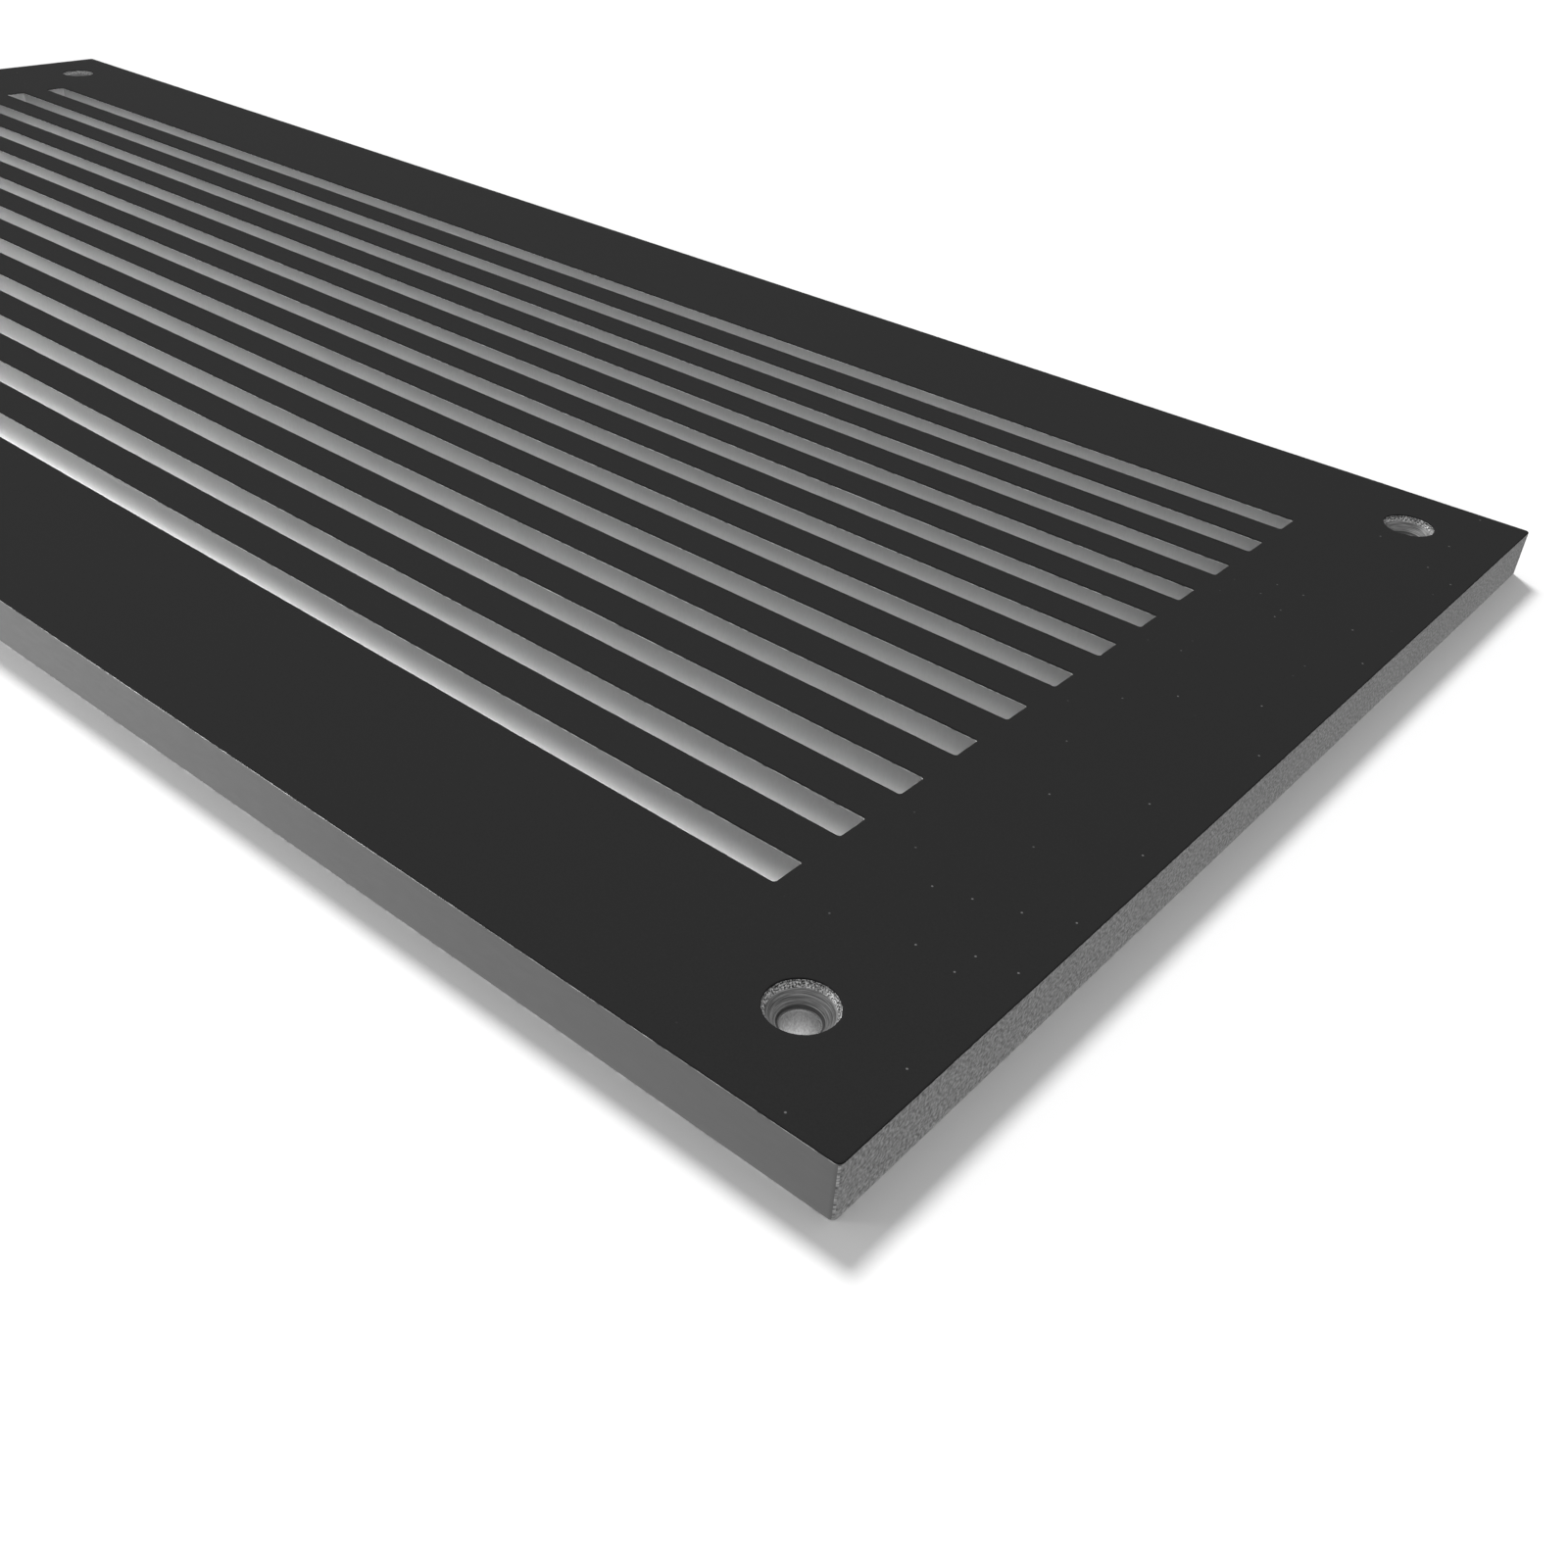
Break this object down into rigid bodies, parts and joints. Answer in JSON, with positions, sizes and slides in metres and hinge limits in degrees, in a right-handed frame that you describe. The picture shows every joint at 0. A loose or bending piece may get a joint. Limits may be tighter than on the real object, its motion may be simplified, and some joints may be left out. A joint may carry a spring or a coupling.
{
  "type": "vented kick plate",
  "caption": "Flat metal kick plate with a field of long parallel air slots, a black face, bare cut edges and a countersunk screw hole in each corner.",
  "frame": {"origin": "centre of the plate's back face, which is the lowest face as it lies", "axes": "+X along the slots, the plate's long way; +Y across the slots; +Z out of the black face"},
  "size_m": [0.3556, 0.1524, 0.0063],
  "materials": {
    "bare_aluminium": "bare cut metal, mill finish on the long edges and a fine sandy cut on the ends and in the slots",
    "matte_black": "flat matte black with a very fine grain"
  },
  "bodies": {
    "root": {"grille_plate": "bare_aluminium", "black_face_film": "matte_black"}
  },
  "joints": []
}
